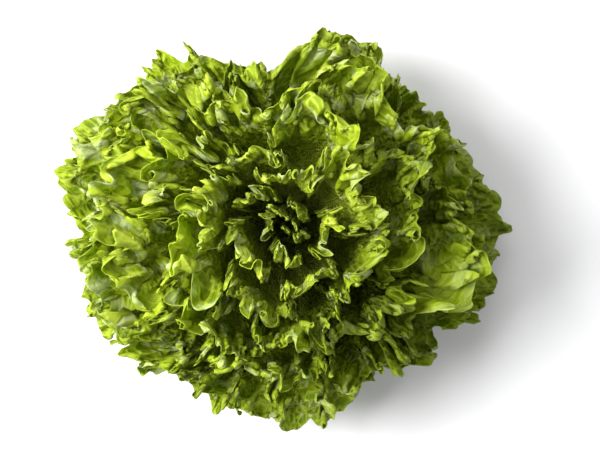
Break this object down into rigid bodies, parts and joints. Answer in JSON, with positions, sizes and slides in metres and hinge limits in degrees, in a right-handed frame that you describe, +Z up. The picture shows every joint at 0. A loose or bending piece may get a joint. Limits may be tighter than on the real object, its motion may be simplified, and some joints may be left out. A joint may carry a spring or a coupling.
{
  "type": "head of lettuce",
  "caption": "Whole head of frilly green leaf lettuce: a cut stem that carries a dense spiral of separate ruffled leaves, resting upright on its cut face.",
  "frame": {"origin": "centre of the stem's flat cut face, on the surface that the head stands on", "axes": "+Z up out of the heart; +X to the right and +Y to the top of the picture, which looks straight down"},
  "size_m": [0.2795, 0.2529, 0.1397],
  "materials": {
    "outer_leaf": "semi-gloss, deep green leaf with fine veins",
    "middle_leaf": "semi-gloss, fresh lime green leaf with fine veins",
    "heart_leaf": "semi-gloss, pale yellow green young leaf",
    "stem": "matt, pale cut stem"
  },
  "bodies": {
    "root": {"stem": "stem", "outer_leaf_01": "outer_leaf", "outer_leaf_02": "outer_leaf", "outer_leaf_03": "outer_leaf", "outer_leaf_04": "outer_leaf", "outer_leaf_05": "outer_leaf", "outer_leaf_06": "outer_leaf", "outer_leaf_07": "outer_leaf", "outer_leaf_08": "outer_leaf", "outer_leaf_09": "outer_leaf", "outer_leaf_10": "outer_leaf", "outer_leaf_11": "outer_leaf", "outer_leaf_12": "outer_leaf", "outer_leaf_13": "outer_leaf", "middle_leaf_01": "middle_leaf", "middle_leaf_02": "middle_leaf", "middle_leaf_03": "middle_leaf", "middle_leaf_04": "middle_leaf", "middle_leaf_05": "middle_leaf", "middle_leaf_06": "middle_leaf", "middle_leaf_07": "middle_leaf", "middle_leaf_08": "middle_leaf", "middle_leaf_09": "middle_leaf", "middle_leaf_10": "middle_leaf", "middle_leaf_11": "middle_leaf", "middle_leaf_12": "middle_leaf", "middle_leaf_13": "middle_leaf", "middle_leaf_14": "middle_leaf", "heart_leaf_01": "heart_leaf", "heart_leaf_02": "heart_leaf", "heart_leaf_03": "heart_leaf", "heart_leaf_04": "heart_leaf", "heart_leaf_05": "heart_leaf", "heart_leaf_06": "heart_leaf", "heart_leaf_07": "heart_leaf", "heart_leaf_08": "heart_leaf", "heart_leaf_09": "heart_leaf", "heart_leaf_10": "heart_leaf", "heart_leaf_11": "heart_leaf", "heart_leaf_12": "heart_leaf", "heart_leaf_13": "heart_leaf"}
  },
  "joints": []
}
